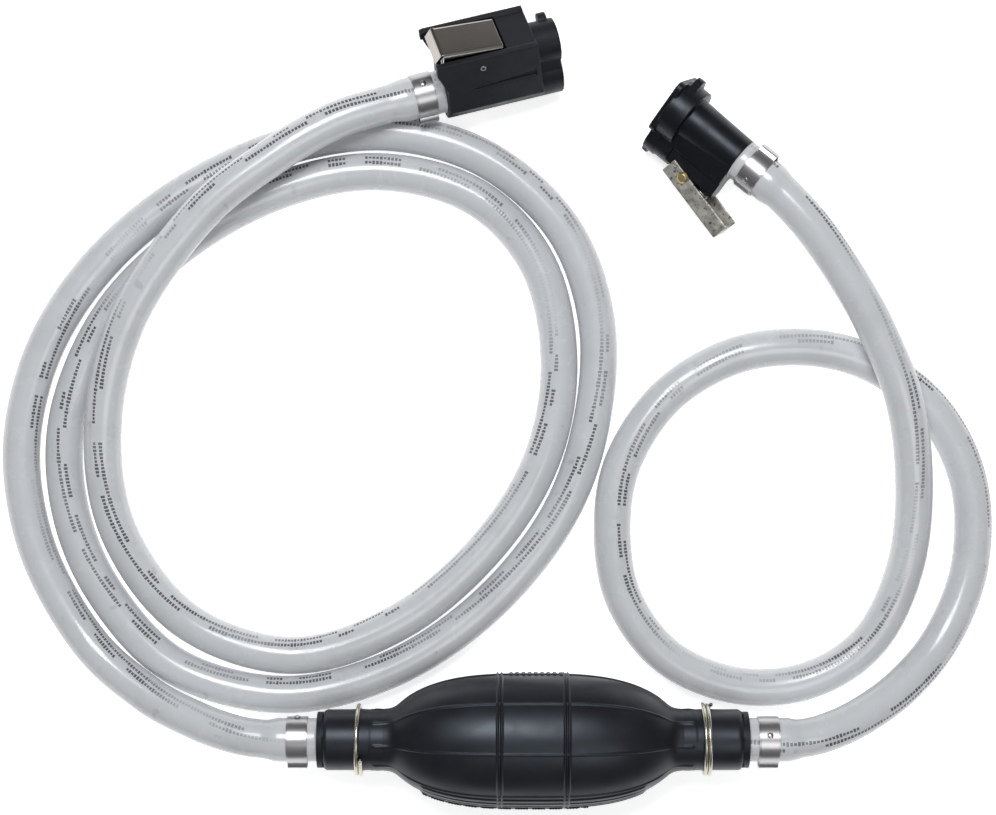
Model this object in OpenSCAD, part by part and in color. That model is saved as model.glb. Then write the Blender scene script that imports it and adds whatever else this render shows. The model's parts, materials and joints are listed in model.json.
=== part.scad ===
// Marine fuel line with a squeeze (primer) bulb, two hoses and two quick connectors.
// Millimetres, +Z up. The line lies on the plane z = 0. The origin is on that plane
// under the middle of the bulb pump, and +X runs along the bulb towards the tank.
// Fuel runs from the tank connector to the engine connector, so through the bulb
// it runs towards -X.

/* [Bulb] */
// Length of the rubber bulb with its two necks
bulb_length = 170; // [166:1:172]
// Radius of the rubber at the middle of the belly
belly_r = 27.4; // [26:0.1:27.8]
// Half length of the rounded belly
belly_half = 62; // [60:0.5:64]
// Outer radius of each neck
neck_r = 12.6; // [12:0.1:13]
// Wall thickness of the belly
wall = 3.4; // [2.5:0.1:4]
// Height of the two ring ribs above the rubber
rib_height = 0.9; // [0.5:0.1:0.9]
// Distance of each ring rib from the middle
rib_offset = 14.5; // [12:0.5:18]
// Half length of a grip pad
pad_half = 46; // [40:1:48]
// Share of a turn that a grip pad covers, in degrees
pad_angle = 50; // [30:2:60]

/* [Check valves] */
// Bore of the neck, which holds the valve body
valve_r = 9.4; // [9:0.1:9.8]
// Radius of the valve chamber
chamber_r = 6.5; // [6:0.1:6.8]
// Radius of the check valve's seat opening
seat_r = 4; // [3.5:0.1:4.5]
// Radius of the check disc
disc_r = 5.4; // [5:0.1:5.6]
// Radius of the collar that shows beyond the rubber
collar_r = 11.6; // [11:0.1:12.2]
// Length of the collar
collar_length = 4.5; // [4:0.1:6]

/* [Hoses] */
// Outside diameter of the hose
hose_d = 15.9; // [15:0.1:16]
// Inside diameter of the hose
hose_bore_d = 9.5; // [9:0.1:10]
// Outer radius of the hose where it is stretched over a barb
hose_end_r = 9; // [8.2:0.1:9.2]
// Length of each barbed stem
barb_length = 18; // [15:0.5:20]
// Width of each hose clamp's band
clamp_width = 8.7; // [7:0.1:9]
// Thickness of the band
clamp_thick = 0.6; // [0.4:0.1:0.8]

/* [Engine connector] */
// Length from the hose end to the front of the nose
engine_length = 50.3; // [49:0.1:51]
// Width across the two side walls
engine_width = 25.7; // [25:0.1:26.4]
// Height of the side walls above the fuel axis
engine_wall_top = 25.7; // [25.5:0.1:26]
// Radius of the barrel around the fuel axis
engine_barrel_r = 11.6; // [11:0.1:12]
// Width of the latch plate
latch_width = 18.4; // [17:0.1:19]
// Radius of the fuel pin socket in both connectors
fuel_socket_r = 5; // [4.8:0.1:5.1]
// Radius of the guide pin socket in the engine connector
engine_guide_r = 3.6; // [3:0.1:3.8]

/* [Tank connector] */
// Length from the hose end to the front face
tank_length = 38.2; // [37.8:0.1:39]
// Radius of the barrel around the fuel axis, at its rear end
tank_barrel_r = 8.9; // [8.7:0.1:9.2]
// Radius of the barrel where it meets the collar
tank_barrel_front_r = 10.1; // [9.5:0.1:10.4]
// Radius of the collar behind the flange
tank_collar_r = 13.3; // [13:0.1:13.6]
// Distance from the fuel axis to the guide pin's axis
guide_offset = 14.5; // [14:0.1:15]
// Radius of the guide pin socket in the tank connector
tank_guide_r = 3.2; // [3:0.1:3.4]
// Angle at which the lever stands out at rest
lever_angle = 14.6; // [12:0.2:16]

/* [Hidden] */
$fn = 48;

fit = 0.05;                            // radial clearance between pieces that slide or are pushed in
rest_gap = 0.1;                        // gap under a valve head at rest
axis_z = belly_r + rib_height;         // the ring ribs rest on the plane
half = bulb_length / 2;
hose_face = half + collar_length;      // the hose ends butt against the collars here
hose_bore_r = hose_bore_d / 2;
stem_r = 4.5;
barb_r = 4.85;
stem_bore_r = 3;
clamp_gap = 4;                         // from a hose's end to its clamp
skin = 1.15;                           // gap that a grip pad keeps above the belly, past the ribs
pad_thick = 0.7;
cut = 1;                               // how far a cutting tool runs past a face

// Where the engine connector's fuel axis leaves its hose, its heading, how far its
// nose is tipped down, and its roll
engine_origin = [-38, 271.3, 18.6];
engine_heading = 14.5;
engine_pitch = 8;
engine_roll = 37;
// The same for the tank connector
tank_origin = [87.3, 242.4, 21.2];
tank_heading = 139.8;
tank_pitch = 10;
tank_roll = 25;

// Centre line of the engine hose, from the bulb's outlet to the engine connector
engine_route = [
    [-89.5, 0, 28.3], [-100.5, 0, 28.3], [-111, 0.2, 28.2], [-124, 2, 26.9],
    [-141, 7.3, 22.6], [-163, 18, 16.2], [-188, 39, 9.8], [-209, 75, 8.2], [-217, 114, 8],
    [-212, 150, 8], [-197, 182, 8], [-172, 211, 8], [-138, 235, 8], [-98, 251, 8],
    [-58, 255, 8], [-18, 243, 8], [13.6, 213.8, 8], [27.5, 174, 8], [24.9, 130, 8],
    [9.6, 89.4, 8],
    [-21.3, 52.5, 8], [-61, 26.6, 8], [-106, 16.3, 8], [-151.6, 28.3, 8], [-182, 60.4, 8],
    [-196.8, 97.2, 8], [-197, 136, 8], [-180, 176, 8], [-150, 207, 8], [-109, 230, 8],
    [-66, 238.5, 8], [-24.7, 228.1, 8], [2.5, 199.2, 8], [11.4, 158, 8], [3.9, 115.9, 8],
    [-20, 78, 8],
    [-57, 47, 8], [-102, 33, 8], [-147, 48, 9], [-175, 86, 12.5], [-181, 131, 16],
    [-169, 177, 22], [-139, 219, 25.2], [-108, 243.5, 25.6], [-84, 257.5, 24.9],
    [-65, 264.2, 22.7], [-50, 268.2, 20.3], [-38, 271.3, 18.6]
];
// Centre line of the tank hose, from the bulb's inlet to the tank connector
tank_route = [
    [89.5, 0, 28.3], [100, 0, 28.3], [110.5, 0.4, 28.2], [122.5, 2.9, 27],
    [138, 9.4, 23.3], [156, 21.3, 17.3], [173, 40, 11.2], [185, 67, 8.3], [187, 97, 8],
    [180, 122, 8],
    [165, 143, 8], [142, 158, 8], [115, 164, 8], [85, 160, 8], [57, 143, 8],
    [39, 116, 8], [34, 87, 8], [39, 57, 8], [58, 32, 8], [88, 20, 8], [119, 23, 8],
    [144, 40, 8], [158, 70, 10], [161, 104, 15.5], [156, 140, 23], [144, 170, 25.2],
    [132, 191.5, 26.2], [118.5, 211.5, 26.5], [106, 226, 25.3], [96.5, 234.7, 23.3],
    [87.3, 242.4, 21.2]
];

// ---- Bulb pump ----

// Radius of the belly's outside at a distance x from the middle
function belly(x) = belly_r * sqrt(max(0, 1 - pow(abs(x) / belly_half, 3)));
// Outside of the rubber, with the necks
function rubber(x) = let (b = belly(x), soft = 2)
    (b + neck_r + sqrt(pow(b - neck_r, 2) + 4 * soft)) / 2;
// Inside of the rubber, which never gets narrower than the neck's bore
function hollow(x) = max(valve_r, rubber(x) - wall);

steps = [for (i = [-1 : 1 / 24 : 1]) i];

module along_bulb() {
    translate([0, 0, axis_z]) rotate([0, 90, 0]) children();
}

// Places a piece that is drawn with +Z leaving the bulb through the inlet or the outlet
module at_inlet() {
    along_bulb() children();
}
module at_outlet() {
    along_bulb() mirror([0, 0, 1]) children();
}

module bulb_shell() {
    neck_start = belly_half - 2;
    neck_level = belly_half + 5;       // beyond this the neck is straight
    outside = [for (s = steps) [rubber(s * neck_start), s * neck_start]];
    inside = [for (s = steps) [hollow(s * neck_start), s * neck_start]];
    color("#1b1c1e") along_bulb() {
        difference() {
            rotate_extrude() polygon(concat(
                [[0, -half], [neck_r, -half], [neck_r, -neck_level]], outside,
                [[neck_r, neck_level], [neck_r, half], [0, half]]
            ));
            rotate_extrude() polygon(concat(
                [[0, -half - cut], [valve_r, -half - cut]], inside,
                [[valve_r, half + cut], [0, half + cut]]
            ));
        }
        for (side = [-1, 1]) ring_rib(side * rib_offset);
    }
}

// One ring rib: two fine lips close together
module ring_rib(x) {
    lip_gap = 2.4;
    lip_width = 0.9;
    root = 1;
    for (lip = [-1, 1]) {
        low = x + lip * lip_gap / 2 - lip_width / 2;
        rotate_extrude() polygon([
            [belly_r - root, low], [belly_r + rib_height, low + lip_width / 4],
            [belly_r + rib_height, low + lip_width * 3 / 4], [belly_r - root, low + lip_width]
        ]);
    }
}

// Knurled finger area of the belly's wall. turn is the angle of its middle.
module grip_pad(turn) {
    inner = [for (s = steps) [rubber(s * pad_half) + skin, s * pad_half]];
    outer = [for (i = [len(steps) - 1 : -1 : 0])
        [rubber(steps[i] * pad_half) + skin + pad_thick, steps[i] * pad_half]];
    color("#202124") along_bulb() rotate([0, 0, turn - pad_angle / 2])
        rotate_extrude(angle = pad_angle) polygon(concat(inner, outer));
}
module front_grip_pad() { grip_pad(275); }
module rear_grip_pad() { grip_pad(85); }

// Barbed stem from z = 0 down to -barb_length, without its bore
module barbed_stem() {
    barbs = 3;
    pitch = (barb_length - 3) / barbs;
    translate([0, 0, -barb_length]) cylinder(r = stem_r, h = barb_length);
    for (i = [0 : barbs - 1])
        translate([0, 0, -barb_length + i * pitch])
            cylinder(r1 = stem_r - 0.1, r2 = barb_r, h = pitch * 0.8);
}

inner_end = 58;                        // the valve body starts here, inside the neck
chamber_end = 80;                      // and its chamber ends here

// Valve body: a sleeve in the neck, a collar outside it and a barbed stem for the hose
module valve_body() {
    notch_depth = 1.1;
    notches = 6;
    difference() {
        union() {
            translate([0, 0, inner_end]) cylinder(r = valve_r - fit, h = half - inner_end);
            translate([0, 0, half]) cylinder(r = collar_r, h = collar_length);
            translate([0, 0, hose_face]) mirror([0, 0, 1]) barbed_stem();
        }
        translate([0, 0, inner_end - cut])
            cylinder(r = chamber_r, h = chamber_end - inner_end + cut);
        translate([0, 0, chamber_end - cut]) cylinder(r = seat_r, h = 3 + cut);
        translate([0, 0, chamber_end]) cylinder(r = stem_bore_r, h = 60);
        for (i = [0 : notches - 1])
            rotate([0, 0, i * 360 / notches])
                translate([collar_r - notch_depth, -2.5, half - cut / 2])
                    cube([5, 5, collar_length / 2 + cut / 2]);
    }
}
module inlet_valve_body() { color("#17181a") at_inlet() valve_body(); }
module outlet_valve_body() { color("#17181a") at_outlet() valve_body(); }

cage_thick = 3;
cage_hub_r = 2.8;
disc_stem_r = 1.4;
disc_thick = 1.6;
inlet_cage_z = inner_end + 2;
outlet_seat_z = inner_end + 2;
outlet_cage_z = chamber_end - cage_thick - 1;
seat_thick = 4;

// Spoked ring that guides a check disc's stem and holds its spring
module valve_cage() {
    rim = 1.2;
    spokes = 3;
    rim_r = chamber_r - fit;
    difference() {
        union() {
            difference() {
                cylinder(r = rim_r, h = cage_thick);
                translate([0, 0, -cut]) cylinder(r = rim_r - rim, h = cage_thick + 2 * cut);
            }
            cylinder(r = cage_hub_r, h = cage_thick);
            for (i = [0 : spokes - 1])
                rotate([0, 0, i * 360 / spokes])
                    translate([0, -0.7, 0]) cube([rim_r - rim / 2, 1.4, cage_thick]);
        }
        translate([0, 0, -cut]) cylinder(r = disc_stem_r + fit, h = cage_thick + 2 * cut);
    }
}
module inlet_valve_cage() {
    color("#d8d4c8") at_inlet() translate([0, 0, inlet_cage_z]) valve_cage();
}
module outlet_valve_cage() {
    color("#d8d4c8") at_outlet() translate([0, 0, outlet_cage_z]) valve_cage();
}

// Ring pushed into the outlet's chamber, on whose outer face the disc closes
module outlet_valve_seat() {
    color("#d8d4c8") at_outlet() translate([0, 0, outlet_seat_z]) difference() {
        cylinder(r = chamber_r - fit, h = seat_thick);
        translate([0, 0, -cut]) cylinder(r = seat_r, h = seat_thick + 2 * cut);
    }
}

// Disc on z = 0 with its guide stem along +Z
module check_disc(stem_length) {
    cylinder(r = disc_r, h = disc_thick);
    cylinder(r = disc_stem_r, h = stem_length);
}
inlet_disc_z = chamber_end - rest_gap;
outlet_disc_z = outlet_seat_z + seat_thick + rest_gap;
module inlet_check_disc() {
    reach = inlet_disc_z - inlet_cage_z - 0.5;
    color("#e3ddcf") at_inlet() translate([0, 0, inlet_disc_z]) mirror([0, 0, 1])
        check_disc(reach);
}
module outlet_check_disc() {
    reach = outlet_cage_z + cage_thick - outlet_disc_z - 0.5;
    color("#e3ddcf") at_outlet() translate([0, 0, outlet_disc_z]) check_disc(reach);
}

// Coil spring along +Z from 0 to length. coil_r is to the wire's centre.
module spring(coil_r, wire_r, turns, length) {
    per_turn = 14;
    sides = 6;
    count = turns * per_turn;
    rise = length - 2 * wire_r;
    points = [for (i = [0 : count], k = [0 : sides - 1])
        let (a = 360 * i / per_turn, b = 360 * k / sides, r = coil_r + wire_r * cos(b))
        [r * cos(a), r * sin(a), wire_r + rise * i / count + wire_r * sin(b)]];
    walls = [for (i = [0 : count - 1], k = [0 : sides - 1])
        let (n = (k + 1) % sides)
        [i * sides + k, (i + 1) * sides + k, (i + 1) * sides + n, i * sides + n]];
    ends = [[for (k = [0 : sides - 1]) k],
        [for (k = [sides - 1 : -1 : 0]) count * sides + k]];
    polyhedron(points = points, faces = concat(walls, ends), convexity = 8);
}
module inlet_check_spring() {
    low = inlet_cage_z + cage_thick + rest_gap;
    high = inlet_disc_z - disc_thick - rest_gap;
    color("#b9b9b4") at_inlet() translate([0, 0, low]) spring(2.3, 0.3, 6, high - low);
}
module outlet_check_spring() {
    low = outlet_disc_z + disc_thick + rest_gap;
    high = outlet_cage_z - rest_gap;
    color("#b9b9b4") at_outlet() translate([0, 0, low]) spring(2.3, 0.3, 5, high - low);
}

// Two turns of spring wire round a neck
module wire_ring() {
    wire_r = 0.85;
    place = 72.4;
    spread = 0.8;                      // the turns press into each other a little
    for (side = [-1, 1])
        translate([0, 0, place + side * spread])
            rotate_extrude() translate([neck_r + fit + wire_r, 0]) circle(r = wire_r, $fn = 24);
}
module inlet_wire_ring() { color("#b8b09a") at_inlet() wire_ring(); }
module outlet_wire_ring() { color("#b8b09a") at_outlet() wire_ring(); }

// Band clamp that starts at z = 0, with a folded ear on its +X side
module hose_clamp() {
    inner = hose_end_r + fit;
    outer = inner + clamp_thick;
    difference() {
        union() {
            cylinder(r = outer, h = clamp_width);
            translate([outer - 0.4, -3, 0]) cube([2.4, 6, clamp_width]);
        }
        translate([0, 0, -cut]) cylinder(r = inner, h = clamp_width + 2 * cut);
    }
}
ear_turn = 90;                         // the ears of the bulb's clamps point to the front
module inlet_hose_clamp() {
    color("#b5b7b8") at_inlet() translate([0, 0, hose_face + clamp_gap])
        rotate([0, 0, -ear_turn]) hose_clamp();
}
module outlet_hose_clamp() {
    color("#b5b7b8") at_outlet() translate([0, 0, hose_face + clamp_gap])
        rotate([0, 0, -ear_turn]) hose_clamp();
}

// ---- Hoses ----

// Point number i of a route, mirrored past its two ends
function knot(route, i) = let (n = len(route) - 1)
    i < 0 ? 2 * route[0] - route[1] : i > n ? 2 * route[n] - route[n - 1] : route[i];
// Smooth curve through the route's points; whole numbers of t are the points
function on_route(route, t) =
    let (i = min(floor(t), len(route) - 2), u = t - i,
        a = knot(route, i - 1), b = knot(route, i), c = knot(route, i + 1),
        d = knot(route, i + 2))
    0.5 * (2 * b + (c - a) * u + (2 * a - 5 * b + 4 * c - d) * u * u
        + (3 * b - a - 3 * c + d) * u * u * u);
function unit(v) = v / norm(v);
function heading_at(route, t) = let (d = 0.01, n = len(route) - 1)
    unit(on_route(route, min(n, t + d)) - on_route(route, max(0, t - d)));

// Hose as one swept tube with an open bore and a flare over the barb at each end
module hose(route, rings) {
    sides = 10;
    last = len(route) - 1;
    flare = [1, 1, 0.25];              // share of the flare at the first three rings
    function outer_r(i) = let (e = min(i, rings - i))
        hose_d / 2 + (e < len(flare) ? flare[e] : 0) * (hose_end_r - hose_d / 2);
    // The sides are flat, so the bore is a little wider to clear the round stem
    function inner_r() = hose_bore_r + 0.65;
    function place(i) = last * i / rings;
    points = [for (layer = [0, 1], i = [0 : rings], k = [0 : sides - 1])
        let (t = place(i), c = on_route(route, t), f = heading_at(route, t),
            across = unit(cross([0, 0, 1], f)), up = cross(f, across),
            a = 360 * (k + 0.5) / sides, r = layer == 0 ? outer_r(i) : inner_r())
        c + r * (cos(a) * across + sin(a) * up)];
    inside = (rings + 1) * sides;
    walls = [for (i = [0 : rings - 1], k = [0 : sides - 1])
        let (n = (k + 1) % sides)
        [i * sides + k, (i + 1) * sides + k, (i + 1) * sides + n, i * sides + n]];
    bore = [for (w = walls) [for (j = [3 : -1 : 0]) w[j] + inside]];
    near = [for (k = [0 : sides - 1]) let (n = (k + 1) % sides)
        [k, n, n + inside, k + inside]];
    far = [for (k = [0 : sides - 1]) let (n = (k + 1) % sides, e = rings * sides)
        [e + n, e + k, e + k + inside, e + n + inside]];
    polyhedron(points = points, faces = concat(walls, bore, near, far), convexity = 10);
}
module engine_hose() { color("#bdbfc2") hose(engine_route, 60); }
module tank_hose() { color("#bdbfc2") hose(tank_route, 35); }

// ---- Parts that both connectors share, drawn along +X ----

module along_x(x) {
    translate([x, 0, 0]) rotate([0, 90, 0]) children();
}

// Barbed insert: a plug in the connector, from x = 0 to plug_length, and its stem behind
module barb_insert(plug_length) {
    difference() {
        union() {
            along_x(0) cylinder(r = plug_r - fit, h = plug_length);
            along_x(0) barbed_stem();
        }
        along_x(-barb_length - cut)
            cylinder(r = stem_bore_r, h = barb_length + plug_length + 2 * cut);
    }
}

plug_r = 6;                            // hole for the barbed insert
poppet_chamber_r = 5.5;
valve_seat_r = 3.2;
groove_r = 6.6;
groove_width = 2.4;
o_ring_r = 0.9;

// Fuel way through a connector: insert hole, poppet chamber, seat, O-ring groove, socket
module fuel_way(plug_end, seat_x, groove_x, front) {
    along_x(-cut) cylinder(r = plug_r, h = plug_end + cut);
    along_x(plug_end - cut) cylinder(r = poppet_chamber_r, h = seat_x - plug_end + cut);
    along_x(seat_x - cut) cylinder(r = valve_seat_r, h = groove_x - seat_x + 2 * cut);
    along_x(groove_x) cylinder(r = groove_r, h = groove_width);
    along_x(groove_x + cut) cylinder(r = fuel_socket_r, h = front - groove_x);
}

module o_ring(groove_x) {
    along_x(groove_x + groove_width / 2)
        rotate_extrude() translate([groove_r - fit - o_ring_r, 0]) circle(r = o_ring_r, $fn = 24);
}

// Poppet with its head behind the seat, a nose in front and a tail in the spring
module poppet(seat_x, nose_x, tail_x) {
    head = 1.9;
    back = seat_x - rest_gap - head;
    along_x(back) cylinder(r = 4.6, h = head);
    along_x(back) cylinder(r = 1.6, h = nose_x - back);
    along_x(tail_x) cylinder(r = 1.8, h = back - tail_x + head / 2);
}
poppet_head_back = 2.1;                // from the seat to where the poppet's spring pushes

// ---- Engine connector ----

engine_plug_end = 12;
engine_seat_x = 33;
engine_groove_x = 36.8;
engine_block_end = 40;                 // the side walls end near here, and the nose starts
latch_cavity_end = 26.5;
latch_floor = 13;
guide_height = 14.5;                   // the guide pin's axis above the fuel axis
latch_pivot = [15.5, 0, 19.85];
latch_pin_r = 1.3;
latch_tilt = 5;                        // the latch's front lies lower than its rear
wall_thick = 2.8;

module at_engine_connector() {
    translate(engine_origin) rotate([0, engine_pitch, engine_heading])
        rotate([-engine_roll, 0, 0])
            children();
}

// Fine wedge that is sunk into a side panel
module side_groove(side) {
    depth = 0.9;
    translate([0, side * engine_width / 2, 0]) rotate([90, 0, 0])
        translate([0, 0, -depth]) linear_extrude(2 * depth)
            polygon([[5.5, 9.1], [38, 9.1], [38, 12.6]]);
}

// Square part of the body, with its two side walls
module engine_block() {
    side = engine_width / 2;
    rear = -4;
    intersection() {
        translate([-10, 0, 0]) rotate([90, 0, 90]) linear_extrude(60) polygon([
            [-side, engine_wall_top], [-side, -1.5], [-8, -8.4], [8, -8.4],
            [side, -1.5], [side, engine_wall_top]
        ]);
        rotate([90, 0, 0]) linear_extrude(40, center = true) polygon([
            [rear, engine_wall_top], [rear, 20.5], [0.1, 10.5], [0.1, -1], [4.5, -8.5],
            [engine_block_end + 1.5, -8.5], [engine_block_end - 0.7, engine_wall_top]
        ]);
    }
}

module engine_connector_body() {
    side = engine_width / 2;
    lobe = 9.1;                        // radius of the nose round the guide socket
    color("#1d1e20") at_engine_connector() difference() {
        union() {
            along_x(0) cylinder(r = engine_barrel_r, h = engine_length);
            engine_block();
            along_x(engine_block_end - 2) translate([-guide_height, 0, 0])
                cylinder(r = lobe, h = engine_length - engine_block_end + 2);
            translate([engine_block_end - 2, 0, 0]) rotate([90, 0, 0])
                joining_web(0.92 * engine_barrel_r, 0.92 * lobe, guide_height,
                    engine_length - engine_block_end + 1.6);
            along_x(44.4) translate([-20.4, 6.2, 0]) cylinder(r = 3.6, h = 3.6);
            translate([-5.2, side - wall_thick, 21.6]) cube([4, wall_thick - 0.1, 3.9]);
        }
        translate([-10, -side + wall_thick, latch_floor])
            cube([latch_cavity_end + 10, engine_width - 2 * wall_thick, 20]);
        translate([latch_cavity_end, -side + wall_thick, engine_wall_top - 0.6])
            cube([engine_block_end, engine_width - 2 * wall_thick, 2]);
        fuel_way(engine_plug_end, engine_seat_x, engine_groove_x, engine_length);
        along_x(latch_cavity_end - 0.1) translate([-guide_height, 0, 0])
            cylinder(r = engine_guide_r, h = engine_length);
        translate(latch_pivot) rotate([90, 0, 0])
            cylinder(r = latch_pin_r + fit / 2, h = 2 * engine_width, center = true);
        side_groove(-1);
        side_groove(1);
    }
}

module engine_barb() {
    color("#17181a") at_engine_connector() barb_insert(engine_plug_end);
}

// The latch's own frame: its origin is on the pin, +X runs forward along the plate
module at_latch() {
    translate(latch_pivot) rotate([0, latch_tilt, 0]) children();
}

// Thin strip of the latch's sheet between two points of its side view, across its width
module latch_strip(a, b, width) {
    sheet = 1.2;
    side = sheet / norm(b - a) * [a[1] - b[1], b[0] - a[0]];
    rotate([90, 0, 0]) linear_extrude(width, center = true)
        polygon([a, b, b + side, a + side]);
}

module latch_plate() {
    top = 7.15;
    sheet = 1.2;
    side = latch_width / 2;
    back = -17.7;
    length = 27.1;
    lug = 3.5;
    color("#b9b4aa") at_engine_connector() at_latch() difference() {
        union() {
            translate([back, -side, top - sheet]) cube([length, latch_width, sheet]);
            latch_strip([back - 1.7, 2.9], [back + 1.4, top - sheet + 0.1],
                latch_width - 0.4);
            for (hand = [-1, 1]) translate([0, hand * (side - sheet / 2), 0]) {
                translate([back + 0.4, -sheet / 2, 2.8])
                    cube([length - 0.5, sheet, top - sheet - 2.2]);
                translate([-lug, -sheet / 2, -2.65]) cube([2 * lug, sheet, 6]);
            }
            translate([back + length - 1.9, -3, -4]) cube([sheet, 6, top - sheet + 4.4]);
        }
        rotate([90, 0, 0])
            cylinder(r = latch_pin_r + fit, h = 2 * engine_width, center = true);
    }
}

module latch_pin() {
    color("#8f9192") at_engine_connector() translate(latch_pivot) rotate([90, 0, 0])
        cylinder(r = latch_pin_r, h = engine_width - 0.2, center = true);
}

module latch_spring() {
    color("#b9b9b4") at_engine_connector() translate([4, 0, latch_floor + rest_gap])
        spring(3, 0.4, 6, 13.2);
}

module engine_o_ring() {
    color("#0d0d0e") at_engine_connector() o_ring(engine_groove_x);
}

module engine_poppet() {
    color("#c9a24a") at_engine_connector() poppet(engine_seat_x, 38.6, 24);
}

module engine_poppet_spring() {
    length = engine_seat_x - poppet_head_back - engine_plug_end - rest_gap;
    color("#b9b9b4") at_engine_connector() along_x(engine_plug_end + rest_gap)
        spring(3.8, 0.4, 8, length);
}

module engine_hose_clamp() {
    color("#b5b7b8") at_engine_connector() along_x(-clamp_gap - clamp_width)
        rotate([0, 0, -53]) hose_clamp();
}

// ---- Tank connector ----

tank_plug_end = 10;
tank_seat_x = 22.4;
tank_groove_x = 24.5;
lobe_r = 7;                            // body round the guide pin's socket
lever_pivot = [14.3, 20];
lever_pin_r = 1.6;
lever_inner = 5.9;                     // inner faces of the lever's two sides
lever_sheet = 1.2;
lever_web = 4;                         // inner face of the lever's back, from the pivot
spring_place = -9.5;                   // along the lever, from the pivot
spring_depth = -4;                     // the spring's seat in the body

module at_tank_connector() {
    translate(tank_origin) rotate([0, tank_pitch, tank_heading])
        rotate([-tank_roll, 0, 0])
            children();
}

// The lever's own frame: +X forward along it, +Y outwards, Z along its pin
module at_lever() {
    translate([lever_pivot[0], lever_pivot[1], 0]) rotate([0, 0, -lever_angle]) children();
}

// Prism along X that joins two round bars, r1 at y = 0 and r2 at y = gap.
// It sinks a little into both bars.
module joining_web(r1, r2, gap, length) {
    rise = (r1 - r2) / gap;
    flat = 0.97 * sqrt(1 - rise * rise);
    rotate([90, 0, 90]) linear_extrude(length) polygon([
        [r1 * rise, r1 * flat], [gap + r2 * rise, r2 * flat],
        [gap + r2 * rise, -r2 * flat], [r1 * rise, -r1 * flat]
    ]);
}

module two_lobes(r1, r2, gap, length) {
    along_x(0) cylinder(r = r1, h = length);
    along_x(0) translate([0, gap, 0]) cylinder(r = r2, h = length);
    joining_web(r1, r2, gap, length);
}

// Small ear of radius ear_r at y = tip, joined by a web to a round bar of radius r at y = root
module ear(tip, root, r, ear_r, thick) {
    along_x(0) translate([0, tip, 0]) cylinder(r = ear_r, h = thick);
    if (tip < root) translate([0, tip, 0]) joining_web(ear_r, r, root - tip, thick);
    else translate([0, root, 0]) joining_web(r, ear_r, tip - root, thick);
}

// Plate with rounded corners round the mouth, starting at x
module mouth_flange(x, thick) {
    corner_r = 3.2;
    along_x(x) linear_extrude(thick) hull()
        for (y = [-9.6, 8.4]) for (z = [-8.6, 8.6])
            translate([z, y]) circle(r = corner_r);
}

module tank_connector_body() {
    collar_x = 27;
    lever_flat = lever_inner - 0.4;
    color("#1d1e20") at_tank_connector() difference() {
        union() {
            difference() {
                union() {
                    two_lobes(tank_barrel_r, lobe_r, guide_offset, collar_x + 5);
                    along_x(0) cylinder(r1 = tank_barrel_r + 0.05, r2 = tank_barrel_front_r,
                        h = collar_x + 1);
                }
                for (side = [0, 1]) mirror([0, 0, side])
                    translate([-cut, 12.5, lever_flat]) cube([26, 20, 10]);
            }
            along_x(collar_x) cylinder(r = tank_collar_r, h = 9.5);
            translate([31.4, 0, 0]) ear(-12.2, 0, tank_collar_r - 0.4, 4.3, 3.4);
            translate([34.6, 0, 0]) ear(guide_offset + 5.6, guide_offset, 7, 3.4, 2.6);
            translate([collar_x + 4.5, 0, 0]) two_lobes(11, 7.5, guide_offset, 5.7);
            mouth_flange(35.4, tank_length - 35.4);
            translate([lever_pivot[0], lever_pivot[1], 0])
                cylinder(r = 3.5, h = 2 * lever_flat - 0.2, center = true);
        }
        fuel_way(tank_plug_end, tank_seat_x, tank_groove_x, tank_length);
        translate([0, guide_offset, 0]) along_x(16.5)
            cylinder(r = tank_guide_r, h = tank_length);
        translate([18, 9.5, -4.2]) cube([5.8, 20, 8.4]);
        translate([lever_pivot[0], lever_pivot[1], 0])
            cylinder(r = lever_pin_r + fit / 2, h = 40, center = true);
        at_lever() translate([spring_place, spring_depth - rest_gap, 0]) rotate([-90, 0, 0])
            cylinder(r = 3.7, h = 12);
    }
}

module tank_barb() {
    color("#17181a") at_tank_connector() barb_insert(tank_plug_end);
}

module release_lever() {
    back = -28;
    front = 8;
    height = 2 * (lever_inner + lever_sheet);
    inboard = -2;
    color("#b4b1a6") at_tank_connector() at_lever() difference() {
        union() {
            translate([back, lever_web, -height / 2])
                cube([front - back, lever_sheet, height]);
            for (side = [0, 1]) mirror([0, 0, side])
                translate([back, inboard, lever_inner])
                    cube([front - back, lever_web - inboard + lever_sheet / 2, lever_sheet]);
            translate([back, inboard + 2.5, -height / 2])
                cube([lever_sheet, lever_web - inboard - 2, height]);
            translate([front - lever_sheet, -7.5, -3.4]) cube([lever_sheet, 12, 6.8]);
        }
        cylinder(r = lever_pin_r + fit, h = 40, center = true);
    }
}

// Brass rivet through the lever and the body
module lever_pin() {
    head_r = 2.7;
    reach = lever_inner + lever_sheet + rest_gap;
    color("#c9a24a") at_tank_connector() translate([lever_pivot[0], lever_pivot[1], 0]) {
        translate([0, 0, -reach]) cylinder(r = lever_pin_r, h = 2 * reach);
        for (side = [0, 1]) mirror([0, 0, side])
            translate([0, 0, reach]) cylinder(r1 = head_r, r2 = head_r * 0.6, h = 1);
    }
}

module lever_spring() {
    color("#b9b9b4") at_tank_connector() at_lever()
        translate([spring_place, spring_depth, 0]) rotate([-90, 0, 0])
            spring(2.9, 0.4, 5, lever_web - spring_depth - rest_gap);
}

module tank_o_ring() {
    color("#0d0d0e") at_tank_connector() o_ring(tank_groove_x);
}

module tank_poppet() {
    color("#c9a24a") at_tank_connector() poppet(tank_seat_x, 26.2, 14);
}

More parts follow.
